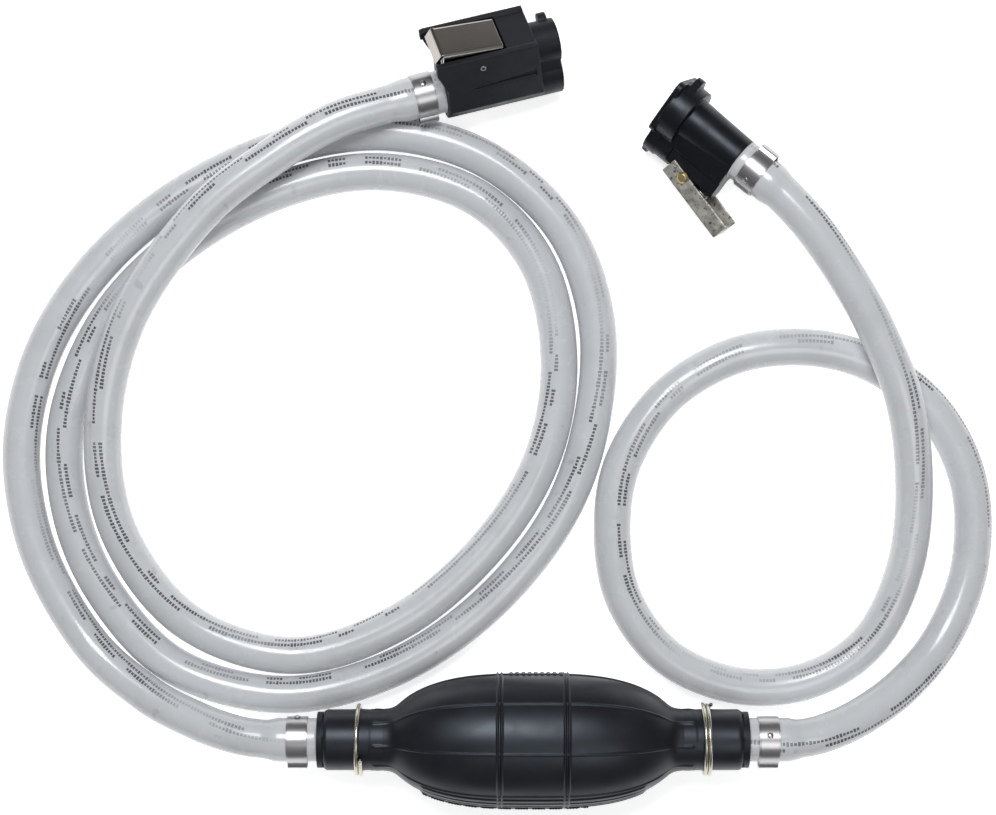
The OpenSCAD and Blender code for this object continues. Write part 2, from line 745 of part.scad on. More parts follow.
module tank_poppet_spring() {
    length = tank_seat_x - poppet_head_back - tank_plug_end - rest_gap;
    color("#b9b9b4") at_tank_connector() along_x(tank_plug_end + rest_gap)
        spring(3.8, 0.4, 5, length);
}

module tank_hose_clamp() {
    color("#b5b7b8") at_tank_connector() along_x(-clamp_gap - clamp_width)
        rotate([0, 0, -97]) hose_clamp();
}

bulb_shell();
front_grip_pad();
rear_grip_pad();
inlet_valve_body();
outlet_valve_body();
inlet_valve_cage();
outlet_valve_cage();
outlet_valve_seat();
inlet_check_disc();
outlet_check_disc();
inlet_check_spring();
outlet_check_spring();
inlet_wire_ring();
outlet_wire_ring();
inlet_hose_clamp();
outlet_hose_clamp();
tank_hose();
engine_hose();
engine_connector_body();
engine_barb();
engine_hose_clamp();
latch_plate();
latch_pin();
latch_spring();
engine_o_ring();
engine_poppet();
engine_poppet_spring();
tank_connector_body();
tank_barb();
tank_hose_clamp();
release_lever();
lever_pin();
lever_spring();
tank_o_ring();
tank_poppet();
tank_poppet_spring();
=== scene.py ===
"""Looks of the fuel line with its squeeze bulb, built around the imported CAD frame.

Sizes are in metres: single ones are a number of millimetres times MM, and the points of
the hose routes are plain metres. The frame's +X runs along the bulb towards the hose of the
tank connector, +Y points to the rear, and the line lies on the plane z = 0.
"""

import json
import math

import bpy
import numpy as np
from mathutils import Matrix, Vector


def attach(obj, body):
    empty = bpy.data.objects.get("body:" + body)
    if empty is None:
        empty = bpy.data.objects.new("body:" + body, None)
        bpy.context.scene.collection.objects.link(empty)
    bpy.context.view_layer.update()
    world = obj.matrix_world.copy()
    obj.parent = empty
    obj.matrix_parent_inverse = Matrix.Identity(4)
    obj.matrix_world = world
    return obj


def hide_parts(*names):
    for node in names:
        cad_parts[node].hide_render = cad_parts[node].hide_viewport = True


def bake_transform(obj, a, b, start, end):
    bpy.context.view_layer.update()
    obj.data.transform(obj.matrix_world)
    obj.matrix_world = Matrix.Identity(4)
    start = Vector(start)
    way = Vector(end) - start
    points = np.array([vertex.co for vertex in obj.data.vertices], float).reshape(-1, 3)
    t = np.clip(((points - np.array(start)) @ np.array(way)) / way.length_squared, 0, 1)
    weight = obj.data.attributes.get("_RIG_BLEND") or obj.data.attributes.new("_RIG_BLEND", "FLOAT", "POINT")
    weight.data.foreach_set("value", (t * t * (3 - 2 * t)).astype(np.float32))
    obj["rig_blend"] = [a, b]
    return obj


MM = 0.001

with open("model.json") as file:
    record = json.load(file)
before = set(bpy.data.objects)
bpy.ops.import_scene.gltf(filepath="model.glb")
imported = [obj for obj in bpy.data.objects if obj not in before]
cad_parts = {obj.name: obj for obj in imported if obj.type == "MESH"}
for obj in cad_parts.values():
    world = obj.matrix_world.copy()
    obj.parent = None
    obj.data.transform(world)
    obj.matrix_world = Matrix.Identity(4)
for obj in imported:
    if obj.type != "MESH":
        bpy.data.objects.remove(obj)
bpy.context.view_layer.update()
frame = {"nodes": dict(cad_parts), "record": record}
nodes = frame["nodes"]
scene = bpy.context.scene


# ---- Places shared with the CAD ----

AXIS_Z = 28.3 * MM                     # height of the bulb's axis
BELLY_R = 27.4 * MM
BELLY_HALF = 62 * MM                   # half the length of the bulb's belly
NECK_R = 12.6 * MM
WIRE_RING_X = 72.4 * MM
HOSE_FACE = 89.5 * MM                  # where each hose starts, from the middle of the bulb
HOSE_D = 15.9 * MM
HOSE_END_R = 9.0 * MM                  # radius of a hose where a barb stretches it
BARB_LENGTH = 18 * MM
CLAMP_GAP = 4 * MM                     # from the end of a hose to its clamp
CLAMP_WIDTH = 8.7 * MM
CLAMP_THICK = 0.6 * MM
LATCH_SHEET = 1.2 * MM

# Each connector: where the end of its hose is, and its turns in degrees
ENGINE_ORIGIN = (-0.038, 0.2713, 0.0186)
ENGINE_HEADING = 14.5
ENGINE_PITCH = 8
ENGINE_ROLL = 37
TANK_ORIGIN = (0.0873, 0.2424, 0.0212)
TANK_HEADING = 139.8
TANK_PITCH = 10
TANK_ROLL = 25

ENGINE_ROUTE = [
    (-0.0895, 0, 0.0283), (-0.1005, 0, 0.0283), (-0.111, 0.0002, 0.0282),
    (-0.124, 0.002, 0.0269), (-0.141, 0.0073, 0.0226), (-0.163, 0.018, 0.0162),
    (-0.188, 0.039, 0.0098), (-0.209, 0.075, 0.0082), (-0.217, 0.114, 0.008),
    (-0.212, 0.15, 0.008), (-0.197, 0.182, 0.008), (-0.172, 0.211, 0.008),
    (-0.138, 0.235, 0.008), (-0.098, 0.251, 0.008), (-0.058, 0.255, 0.008),
    (-0.018, 0.243, 0.008), (0.0136, 0.2138, 0.008), (0.0275, 0.174, 0.008),
    (0.0249, 0.13, 0.008), (0.0096, 0.0894, 0.008), (-0.0213, 0.0525, 0.008),
    (-0.061, 0.0266, 0.008), (-0.106, 0.0163, 0.008), (-0.1516, 0.0283, 0.008),
    (-0.182, 0.0604, 0.008), (-0.1968, 0.0972, 0.008), (-0.197, 0.136, 0.008),
    (-0.18, 0.176, 0.008), (-0.15, 0.207, 0.008), (-0.109, 0.23, 0.008),
    (-0.066, 0.2385, 0.008), (-0.0247, 0.2281, 0.008), (0.0025, 0.1992, 0.008),
    (0.0114, 0.158, 0.008), (0.0039, 0.1159, 0.008), (-0.02, 0.078, 0.008),
    (-0.057, 0.047, 0.008), (-0.102, 0.033, 0.008), (-0.147, 0.048, 0.009),
    (-0.175, 0.086, 0.0125), (-0.181, 0.131, 0.016), (-0.169, 0.177, 0.022),
    (-0.139, 0.219, 0.0252), (-0.108, 0.2435, 0.0256), (-0.084, 0.2575, 0.0249),
    (-0.065, 0.2642, 0.0227), (-0.05, 0.2682, 0.0203), (-0.038, 0.2713, 0.0186),
]
TANK_ROUTE = [
    (0.0895, 0, 0.0283), (0.1, 0, 0.0283), (0.1105, 0.0004, 0.0282), (0.1225, 0.0029, 0.027),
    (0.138, 0.0094, 0.0233), (0.156, 0.0213, 0.0173), (0.173, 0.04, 0.0112),
    (0.185, 0.067, 0.0083), (0.187, 0.097, 0.008), (0.18, 0.122, 0.008), (0.165, 0.143, 0.008),
    (0.142, 0.158, 0.008), (0.115, 0.164, 0.008), (0.085, 0.16, 0.008), (0.057, 0.143, 0.008),
    (0.039, 0.116, 0.008), (0.034, 0.087, 0.008), (0.039, 0.057, 0.008), (0.058, 0.032, 0.008),
    (0.088, 0.02, 0.008), (0.119, 0.023, 0.008), (0.144, 0.04, 0.008), (0.158, 0.07, 0.01),
    (0.161, 0.104, 0.0155), (0.156, 0.14, 0.023), (0.144, 0.17, 0.0252),
    (0.132, 0.1915, 0.0262), (0.1185, 0.2115, 0.0265), (0.106, 0.226, 0.0253),
    (0.0965, 0.2347, 0.0233), (0.0873, 0.2424, 0.0212),
]


def placed(origin, heading, pitch, roll):
    """Place of a connector's own frame: +X points out of its mouth, and +Z up before the roll."""
    return (
        Matrix.Translation(origin)
        @ Matrix.Rotation(math.radians(heading), 4, "Z")
        @ Matrix.Rotation(math.radians(pitch), 4, "Y")
        @ Matrix.Rotation(math.radians(-roll), 4, "X")
    )


ENGINE = placed(ENGINE_ORIGIN, ENGINE_HEADING, ENGINE_PITCH, ENGINE_ROLL)
TANK = placed(TANK_ORIGIN, TANK_HEADING, TANK_PITCH, TANK_ROLL)
# +Z of these two frames leaves the bulb through its inlet and through its outlet
INLET = Matrix.Translation((0, 0, AXIS_Z)) @ Matrix.Rotation(math.pi / 2, 4, "Y")
OUTLET = Matrix.Translation((0, 0, AXIS_Z)) @ Matrix.Rotation(-math.pi / 2, 4, "Y")


# ---- Mesh helpers ----


def mesh_piece(name, vertices, faces, uvs=None):
    """A smooth-shaded mesh object. uvs gives one (u, v) for each corner of each face."""
    mesh = bpy.data.meshes.new(name)
    mesh.from_pydata([tuple(v) for v in vertices], [], faces)
    if uvs is not None:
        layer = mesh.uv_layers.new(name="UVMap")
        layer.data.foreach_set("uv", np.array(uvs, np.float32).ravel())
    mesh.update()
    for polygon in mesh.polygons:
        polygon.use_smooth = True
    piece = bpy.data.objects.new(name, mesh)
    scene.collection.objects.link(piece)
    return piece


def grid_faces(rows, columns, closed):
    """Quads of a grid of rows x columns vertices. closed joins the last column to the first."""
    faces = []
    for i in range(rows - 1):
        for k in range(columns if closed else columns - 1):
            n = (k + 1) % columns
            faces.append((i * columns + k, (i + 1) * columns + k,
                          (i + 1) * columns + n, i * columns + n))
    return faces


def modifier(piece, kind, **settings):
    """Adds a modifier and gives it its settings."""
    added = piece.modifiers.new(kind.title(), kind)
    for key, value in settings.items():
        setattr(added, key, value)


def round_edges(piece, width):
    """Small rounded edges, as stamped pieces have."""
    modifier(piece, "BEVEL", width=width, segments=2, limit_method="ANGLE",
             angle_limit=math.radians(30), harden_normals=True)


def on_route(route, per_span):
    """Points on a smooth (Catmull-Rom) curve through a route, the same curve as in the CAD."""
    knots = [2 * route[0] - route[1]] + list(route) + [2 * route[-1] - route[-2]]
    points = []
    for i in range(len(route) - 1):
        a, b, c, d = knots[i:i + 4]
        for u in np.arange(per_span) / per_span:
            points.append(0.5 * (2 * b + (c - a) * u + (2 * a - 5 * b + 4 * c - d) * u * u
                                 + (3 * b - a - 3 * c + d) * u ** 3))
    points.append(route[-1])
    return np.array(points)


def distances(points):
    """Distance along a line of points, from its start."""
    steps = np.linalg.norm(np.diff(points, axis=0), axis=1)
    return np.concatenate([[0], np.cumsum(steps)])


def sections(points, radii, sides, reference):
    """Round cross-sections along points. reference is a direction that points never run in."""
    forward = np.gradient(points, axis=0)
    forward /= np.linalg.norm(forward, axis=1)[:, None]
    across = np.cross(reference, forward)
    across /= np.linalg.norm(across, axis=1)[:, None]
    up = np.cross(forward, across)
    turn = 2 * math.pi * np.arange(sides) / sides
    ring = (np.cos(turn)[None, :, None] * across[:, None, :]
            + np.sin(turn)[None, :, None] * up[:, None, :])
    return (points[:, None, :] + radii[:, None, None] * ring).reshape(-1, 3)


def tube_faces(rows, sides):
    """Faces of a tube with closed ends."""
    last = (rows - 1) * sides
    caps = [tuple(range(sides - 1, -1, -1)), tuple(last + k for k in range(sides))]
    return grid_faces(rows, sides, True) + caps


def hose_tube(name, points, radii, sides):
    """Hose along points. Its UVs are metres along it and metres round it."""
    along = distances(points)
    girth = math.pi * HOSE_D
    uvs = []
    for i in range(len(points) - 1):
        for k in range(sides):
            low = girth * k / sides
            high = girth * (k + 1) / sides
            uvs += [(along[i], low), (along[i + 1], low), (along[i + 1], high), (along[i], high)]
    uvs += [(along[0], 0)] * (2 * sides)
    vertices = sections(points, radii, sides, (0, 0, 1))
    return mesh_piece(name, vertices, tube_faces(len(points), sides), uvs)


class Build:
    """Collects the shapes of one piece in its own frame, then places them."""

    def __init__(self, place):
        self.place = place
        self.vertices = []
        self.faces = []

    def add(self, vertices, faces, place=Matrix.Identity(4)):
        """Adds one shape."""
        first = len(self.vertices)
        self.vertices += [self.place @ place @ Vector(v) for v in vertices]
        self.faces += [tuple(first + n for n in face) for face in faces]

    def prism(self, outline, low, high, place=Matrix.Identity(4)):
        """Adds an outline of (x, y) points, drawn from z = low to z = high."""
        count = len(outline)
        vertices = [(x, y, z) for z in (low, high) for x, y in outline]
        sides = [(i, (i + 1) % count, count + (i + 1) % count, count + i) for i in range(count)]
        ends = [tuple(range(count - 1, -1, -1)), tuple(range(count, 2 * count))]
        self.add(vertices, sides + ends, place)

    def turned(self, outline, steps, place=Matrix.Identity(4)):
        """Adds a closed outline of (radius, z) points, turned about z."""
        count = len(outline)
        vertices = []
        faces = []
        for i in range(steps):
            turn = 2 * math.pi * i / steps
            vertices += [(r * math.cos(turn), r * math.sin(turn), z) for r, z in outline]
        for i in range(steps):
            n = (i + 1) % steps
            for k in range(count):
                m = (k + 1) % count
                faces.append((i * count + k, n * count + k, n * count + m, i * count + m))
        self.add(vertices, faces, place)

    def wire(self, points, radius, sides, reference):
        """Adds a round wire along points, with rounded ends."""
        points = np.array(points)
        radii = np.full(len(points), radius)
        radii[[0, -1]] = 0.5 * radius
        self.add(sections(points, radii, sides, reference), tube_faces(len(points), sides))

    def piece(self, name, sharp=None):
        """Makes the object. Edges sharper than the angle sharp, in degrees, stay crisp."""
        made = mesh_piece(name, self.vertices, self.faces)
        if sharp is not None:
            made.data.set_sharp_from_angle(angle=math.radians(sharp))
        return made


def rounded_copy(name, node, voxel, passes):
    """Copy of a CAD node with all its edges softened. It stands for the node."""
    copied = nodes[node].data.copy()
    copied.name = name
    copied.materials.clear()
    piece = bpy.data.objects.new(name, copied)
    scene.collection.objects.link(piece)
    modifier(piece, "REMESH", mode="VOXEL", voxel_size=voxel, use_smooth_shade=True)
    modifier(piece, "SMOOTH", factor=0.5, iterations=passes)
    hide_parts(node)
    return piece


# ---- Materials ----


class Surface:
    """A Principled material built from a few named steps."""

    def __init__(self, name, color, roughness, metallic=0.0, **sockets):
        self.material = bpy.data.materials.new(name)
        self.material.use_nodes = True
        self.tree = self.material.node_tree
        self.shader = self.tree.nodes["Principled BSDF"]
        self.shader.inputs["Base Color"].default_value = (*color, 1)
        self.shader.inputs["Roughness"].default_value = roughness
        self.shader.inputs["Metallic"].default_value = metallic
        for key, value in sockets.items():
            self.shader.inputs[key.replace("_", " ")].default_value = value

    def node(self, kind, **inputs):
        """Adds a node and sets its inputs by name."""
        added = self.tree.nodes.new(kind)
        for key, value in inputs.items():
            added.inputs[key].default_value = value
        return added

    def link(self, source, target):
        """Joins an output socket to an input socket."""
        self.tree.links.new(source, target)

    def noise(self, scale, detail=3.0):
        """Noise in the piece's own coordinates."""
        place = self.tree.nodes.new("ShaderNodeTexCoord").outputs["Object"]
        texture = self.node("ShaderNodeTexNoise", Scale=scale, Detail=detail)
        self.link(place, texture.inputs["Vector"])
        return texture.outputs["Fac"]

    def between(self, value, low, high, out_low, out_high):
        """Maps value from low..high to out_low..out_high."""
        ramp = self.node("ShaderNodeMapRange")
        for key, number in zip(("From Min", "From Max", "To Min", "To Max"),
                               (low, high, out_low, out_high)):
            ramp.inputs[key].default_value = number
        self.link(value, ramp.inputs["Value"])
        return ramp.outputs["Result"]

    def math(self, operation, first, second=None):
        """Output of a maths node. Each input is a socket or a number."""
        node = self.tree.nodes.new("ShaderNodeMath")
        node.operation = operation
        for value, socket in zip((first, second), node.inputs):
            if isinstance(value, bpy.types.NodeSocket):
                self.link(value, socket)
            elif value is not None:
                socket.default_value = value
        return node.outputs[0]

    def mix_color(self, factor, first, second):
        """Colour that goes from first to second. Either may be a socket or a colour."""
        mix = self.tree.nodes.new("ShaderNodeMix")
        mix.data_type = "RGBA"
        self.link(factor, mix.inputs[0])
        for value, socket in ((first, mix.inputs[6]), (second, mix.inputs[7])):
            if isinstance(value, bpy.types.NodeSocket):
                self.link(value, socket)
            else:
                socket.default_value = (*value, 1)
        return mix.outputs[2]

    def paint(self, color):
        """Takes the base colour from a socket."""
        self.link(color, self.shader.inputs["Base Color"])

    def vary_roughness(self, scale, low, high):
        """Roughness that wanders between low and high."""
        wander = self.between(self.noise(scale), 0.35, 0.65, low, high)
        self.link(wander, self.shader.inputs["Roughness"])

    def bump(self, height, strength, distance):
        """Bump from a height socket."""
        bump = self.node("ShaderNodeBump", Strength=strength, Distance=distance)
        self.link(height, bump.inputs["Height"])
        self.link(bump.outputs["Normal"], self.shader.inputs["Normal"])


COOL = (0.8, 0.88, 1, 1)               # sheen of black rubber and plastic
GRAIN = 0.1 * MM                       # depth of the fine grain of moulded pieces


def moulded_rubber():
    """Satin black rubber with a fine moulded grain and a trace of dust."""
    clean = (0.0068, 0.0072, 0.0095)
    dusty = (0.015, 0.017, 0.021)
    look = Surface("bulb_rubber", clean, 0.4, Specular_IOR_Level=0.45, Specular_Tint=COOL)
    look.vary_roughness(90, 0.35, 0.44)
    dust = look.between(look.noise(60, 6), 0.52, 0.8, 0.0, 0.35)
    look.paint(look.mix_color(dust, clean, dusty))
    look.bump(look.noise(2600, 2), 0.12, GRAIN)
    return look.material


def moulded_plastic(name, color, rough_low, rough_high, shine=0.35):
    """Black moulded plastic with a fine spark-eroded grain and light scuffs."""
    look = Surface(name, color, 0.4, Specular_IOR_Level=shine, Specular_Tint=COOL)
    look.vary_roughness(140, rough_low, rough_high)
    scuff = look.between(look.noise(700, 4), 0.6, 0.85, 0.0, 0.3)
    lighter = tuple(c + 0.03 for c in color)
    look.paint(look.mix_color(scuff, color, lighter))
    look.bump(look.noise(2400, 3), 0.2, GRAIN)
    return look.material


def metal(name, color, roughness):
    """Rolled sheet or drawn wire, a little uneven in shade."""
    look = Surface(name, color, roughness, 1.0)
    shade = look.between(look.noise(70, 3), 0.3, 0.7, 0.0, 1.0)
    darker = tuple(0.88 * c for c in color)
    look.paint(look.mix_color(shade, darker, color))
    return look.material


def galvanised(name, color):
    """Galvanised sheet: mottled grey with small dark worn flecks."""
    look = Surface(name, color, 0.45, 0.8)
    mottle = look.between(look.noise(260, 6), 0.32, 0.68, 0.0, 1.0)
    lighter = tuple(min(1, 1.25 * c) for c in color)
    darker = tuple(0.62 * c for c in color)
    worn = (0.06, 0.055, 0.05)
    cloudy = look.mix_color(mottle, darker, lighter)
    flecks = look.between(look.noise(650, 8), 0.59, 0.66, 0.0, 0.85)
    look.paint(look.mix_color(flecks, cloudy, worn))
    look.vary_roughness(500, 0.36, 0.58)
    look.bump(look.noise(900, 5), 0.25, GRAIN)
    return look.material


def random_cells(look, along, cell, row):
    """Random value for each cell length of a hose. row picks another row of values."""
    numbered = look.math("FLOOR", look.math("DIVIDE", along, cell))
    texture = look.tree.nodes.new("ShaderNodeTexWhiteNoise")
    texture.noise_dimensions = "1D"
    look.link(look.math("ADD", numbered, row), texture.inputs["W"])
    return texture.outputs["Value"]


def printed_marks(look):
    """Two rows of small printed ticks along a hose, in groups and partly worn away.

    The rows wander slowly round the hose, because a hose twists a little as it lies."""
    girth = math.pi * HOSE_D
    twist_length = 620 * MM
    twist = 0.13 * girth
    middle = 0.27 * girth
    row_offset = 1.3 * MM
    pitch = 1.5 * MM
    tick_share = 0.7
    shortest = 0.5 * MM
    longer_by = 0.4 * MM
    group = 7.5 * MM
    gap_share = 0.25
    uv = look.tree.nodes.new("ShaderNodeTexCoord").outputs["UV"]
    split = look.tree.nodes.new("ShaderNodeSeparateXYZ")
    look.link(uv, split.inputs["Vector"])
    along = split.outputs["X"]
    swing = look.math("SINE", look.math("MULTIPLY", along, 2 * math.pi / twist_length))
    wander = look.math("MULTIPLY", swing, twist)
    aside = look.math("SUBTRACT", look.math("SUBTRACT", split.outputs["Y"], wander), middle)
    in_pitch = look.math("FRACT", look.math("DIVIDE", along, pitch))
    in_tick = look.math("LESS_THAN", in_pitch, tick_share)
    rows = []
    # The first number only gives each row random values of its own
    for row, place in ((17.5, row_offset), (91.5, -row_offset)):
        extra = look.math("MULTIPLY", random_cells(look, along, pitch, row), longer_by)
        tall = look.math("ADD", extra, shortest)
        from_row = look.math("ABSOLUTE", look.math("SUBTRACT", aside, place))
        in_row = look.math("LESS_THAN", from_row, tall)
        in_group = look.math("GREATER_THAN", random_cells(look, along, group, row), gap_share)
        rows.append(look.math("MULTIPLY", in_row, look.math("MULTIPLY", in_group, in_tick)))
    worn = look.between(look.noise(11, 2), 0.4, 0.58, 0.08, 0.85)
    return look.math("MULTIPLY", look.math("MAXIMUM", rows[0], rows[1]), worn)


def hose_pvc():
    """Glossy light grey hose with faint smudges and scratches and rows of printed ticks."""
    clean = (0.6, 0.612, 0.628)
    smudged = (0.5, 0.51, 0.525)
    scratched = (0.3, 0.3, 0.3)
    ink = (0.02, 0.02, 0.035)
    look = Surface("hose_pvc", clean, 0.2, Specular_IOR_Level=0.5, Coat_Weight=0.25,
                   Coat_Roughness=0.12)
    smudge = look.between(look.noise(45, 7), 0.5, 0.78, 0.0, 0.6)
    scratch = look.between(look.noise(150, 9), 0.66, 0.74, 0.0, 0.35)
    marked = look.mix_color(scratch, look.mix_color(smudge, clean, smudged), scratched)
    look.paint(look.mix_color(printed_marks(look), marked, ink))
    look.vary_roughness(160, 0.16, 0.3)
    look.bump(look.noise(420, 3), 0.04, 0.2 * MM)
    return look.material


RUBBER = moulded_rubber()
COLLAR = moulded_plastic("collar_plastic", (0.006, 0.006, 0.0075), 0.42, 0.56)
ENGINE_PLASTIC = moulded_plastic("engine_plastic", (0.0105, 0.0098, 0.012), 0.42, 0.56, 0.3)
TANK_PLASTIC = moulded_plastic("tank_plastic", (0.0048, 0.005, 0.006), 0.32, 0.42)
HOSE = hose_pvc()
BAND = metal("band_steel", (0.5, 0.49, 0.5), 0.31)
LATCH_STEEL = metal("latch_steel", (0.44, 0.405, 0.375), 0.16)
WIRE = metal("ring_wire", (0.58, 0.55, 0.46), 0.26)
SPRING = metal("valve_spring", (0.5, 0.5, 0.49), 0.28)
PIN = metal("pin_steel", (0.6, 0.6, 0.6), 0.28)
BRASS = metal("brass", (0.62, 0.5, 0.24), 0.36)
LEVER = galvanised("lever_steel", (0.52, 0.5, 0.45))
SEAL = moulded_plastic("seal_rubber", (0.006, 0.006, 0.006), 0.5, 0.6)
VALVE = moulded_plastic("valve_plastic", (0.6, 0.57, 0.48), 0.45, 0.55, 0.5)

SURFACES = {
    "bulb_rubber": RUBBER, "collar_plastic": COLLAR, "engine_plastic": ENGINE_PLASTIC,
    "tank_plastic": TANK_PLASTIC, "hose_pvc": HOSE, "band_steel": BAND,
    "latch_steel": LATCH_STEEL, "ring_wire": WIRE, "valve_spring": SPRING, "pin_steel": PIN,
    "brass": BRASS, "lever_steel": LEVER, "seal_rubber": SEAL, "valve_plastic": VALVE,
}
for part in frame["record"]["subparts"]:
    surface = SURFACES[part["material_slot"]]
    for material_slot in nodes[part["node"]].material_slots:
        material_slot.material = surface


def finish_piece(piece, slot, body="line"):
    """Gives a piece the material of the record slot named slot, and lets it ride on a body."""
    piece.data.materials.append(SURFACES[slot])
    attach(piece, body)
    return piece


# ---- Hoses ----


def hose(name, route, node):
    """One hose, swollen over the barb at each end. Gives it with its centre line."""
    slope = 7 * MM
    slope_end = BARB_LENGTH + 5 * MM
    points = on_route([np.array(p, float) for p in route], 10)
    along = distances(points)
    from_end = np.minimum(along, along[-1] - along)
    flare = np.clip((slope_end - from_end) / slope, 0, 1)
    radii = HOSE_D / 2 + (HOSE_END_R - HOSE_D / 2) * flare * flare * (3 - 2 * flare)
    piece = hose_tube(name, points, radii, 48)
    finish_piece(piece, "hose_pvc")
    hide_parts(node)
    return piece, points


engine_hose, engine_points = hose("hose_engine", ENGINE_ROUTE, "engine_hose")
tank_hose, tank_points = hose("hose_tank", TANK_ROUTE, "tank_hose")


# ---- Bulb ----

# Turns round the bulb are in degrees from straight up towards the rear, so the front is -90
LONG_RIBS = 8
LONG_RIB_STEP = 360 / LONG_RIBS
LONG_RIB_TURN = -5                     # turn of the first long rib
RING_RIBS_X = (-13.8 * MM, 13.7 * MM)  # middles of the two double ring ribs
GRIP_TURNS = (-130, -53)               # what the front grip takes up
REAR_MARK_TURNS = (80, 103)


def rubber(x):
    """Outer radius of the smooth rubber at x, the same curve as in the CAD."""
    belly = BELLY_R * np.sqrt(np.clip(1 - np.abs(x / BELLY_HALF) ** 3, 0, 1))
    soft = 2 * MM * MM
    neck_start = BELLY_HALF + 5 * MM
    radius = (belly + NECK_R + np.sqrt((belly - NECK_R) ** 2 + 4 * soft)) / 2
    return np.where(np.abs(x) > neck_start, NECK_R, radius)


def ridge(distance, half_width, height):
    """Rounded ridge: height where distance is 0, nothing past half_width."""
    return height * np.clip(1 - (distance / half_width) ** 2, 0, 1)


def plateau(distance, half_width, edge, height):
    """Flat ridge whose sides slope over the width edge."""
    return height * np.clip((half_width - np.abs(distance)) / edge, 0, 1)


def turn_between(turn, middle):
    """Signed angle in degrees from middle to turn."""
    return (turn - middle + 180) % 360 - 180


def moulded_ribs(x, turn, radius):
    """Height of the long ribs, the two double ring ribs and the low ribs on the necks."""
    long_rib = 0.45 * MM
    long_rib_half = 0.6 * MM
    long_rib_end = 66.5 * MM
    shoulder = 58 * MM                 # the long ribs sink into the rubber here
    sunk = 0.38 * MM
    neck_rib = 0.35 * MM
    neck_rib_half = 3.2 * MM
    neck_rib_x = 72 * MM
    ring_lip = 0.85 * MM               # height of a ring rib's two lips, and their way aside
    ring_lip_half = 0.45 * MM
    height = np.zeros(np.broadcast(x, turn).shape)
    from_middle = np.abs(x)
    rise = long_rib - plateau(from_middle - shoulder, 6 * MM, 5 * MM, sunk)
    fade = np.clip((long_rib_end - from_middle) / MM, 0, 1)
    neck = plateau(from_middle - neck_rib_x, 4 * MM, 5 * MM, 1)
    for i in range(LONG_RIBS):
        aside = radius * np.radians(turn_between(turn, LONG_RIB_TURN + LONG_RIB_STEP * i))
        height = np.maximum(height, fade * ridge(aside, long_rib_half, rise))
        if i % 4 == 2:                 # front and rear
            low_rib = neck * plateau(aside, neck_rib_half, 1.2 * MM, neck_rib)
            height = np.maximum(height, low_rib)
    for middle in RING_RIBS_X:
        for lip in (-ring_lip, ring_lip):
            height = np.maximum(height, ridge(x - middle + lip, ring_lip_half, ring_lip))
    return height


def blocks(x, shift):
    """Height along one row of grip blocks: knurled blocks, then a plain strip."""
    pitch = 7 * MM
    block_half = 3.1 * MM
    block_height = 1.15 * MM
    notch_pitch = 1.2 * MM
    notch_height = 0.14 * MM
    strip_start = 23 * MM
    strip_height = 0.7 * MM
    place = np.mod(x + pitch * (shift + 0.17), pitch) - pitch / 2
    block = plateau(place, block_half, 0.35 * MM, block_height)
    notch = notch_height * np.cos(2 * math.pi * x / notch_pitch)
    return np.where(x < strip_start, block + np.where(block > MM, notch, 0), strip_height)


def tread(x, turn, radius):
    """Height of the finger grips: long steps and rows of blocks in front, marks at the rear."""
    grip_half = 47 * MM
    side = 0.4 * MM                    # how far the sides of steps, blocks and marks slope
    step_turns = (-57.5, -65, -72.5)
    step_half = 1.45 * MM
    step_height = 0.5 * MM
    block_turns = [-81 - 8.5 * row for row in range(6)]
    block_row_half = 1.75 * MM
    mark_turns = (84, 91, 98)
    mark_row_half = 1.3 * MM
    mark_half = 0.95 * MM
    mark_pitch = 2.6 * MM
    mark_height = 0.5 * MM
    height = np.zeros(np.broadcast(x, turn).shape)
    grip = plateau(x, grip_half, 1.5 * MM, 1)
    for middle in step_turns:
        aside = radius * np.radians(turn_between(turn, middle))
        height = np.maximum(height, grip * plateau(aside, step_half, side, step_height))
    for row, middle in enumerate(block_turns):
        aside = radius * np.radians(turn_between(turn, middle))
        across = plateau(aside, block_row_half, side, 1)
        height = np.maximum(height, grip * across * blocks(x, 0.5 * (row % 2)))
    place = np.mod(x, mark_pitch) - mark_pitch / 2
    marked = plateau(x - 2 * MM, 12 * MM, 0.5 * MM, mark_height)
    for middle in mark_turns:
        aside = radius * np.radians(turn_between(turn, middle))
        mark = plateau(aside, mark_row_half, side, 1) * plateau(place, mark_half, 0.35 * MM, 1)
        height = np.maximum(height, marked * mark)
    return height


def bulb_columns():
    """Angles of the bulb's columns, closer together at the ribs and in the grips."""
    fine = 0.75
    coarse = 2.5
    least = 0.3
    beside_rib = (-2.6, -1.9, -1.3, -0.9, -0.45, 0, 0.45, 0.9, 1.3, 1.9, 2.6)
    turns = list(np.arange(-180, 180, coarse))
    turns += list(np.arange(*GRIP_TURNS, fine)) + list(np.arange(*REAR_MARK_TURNS, fine))
    for i in range(LONG_RIBS):
        rib = LONG_RIB_TURN + LONG_RIB_STEP * i
        turns += [turn_between(rib + step, 0) for step in beside_rib]
    kept = []
    for turn in sorted(turns):
        if not kept or turn - kept[-1] > least:
            kept.append(turn)
    return np.array(kept)


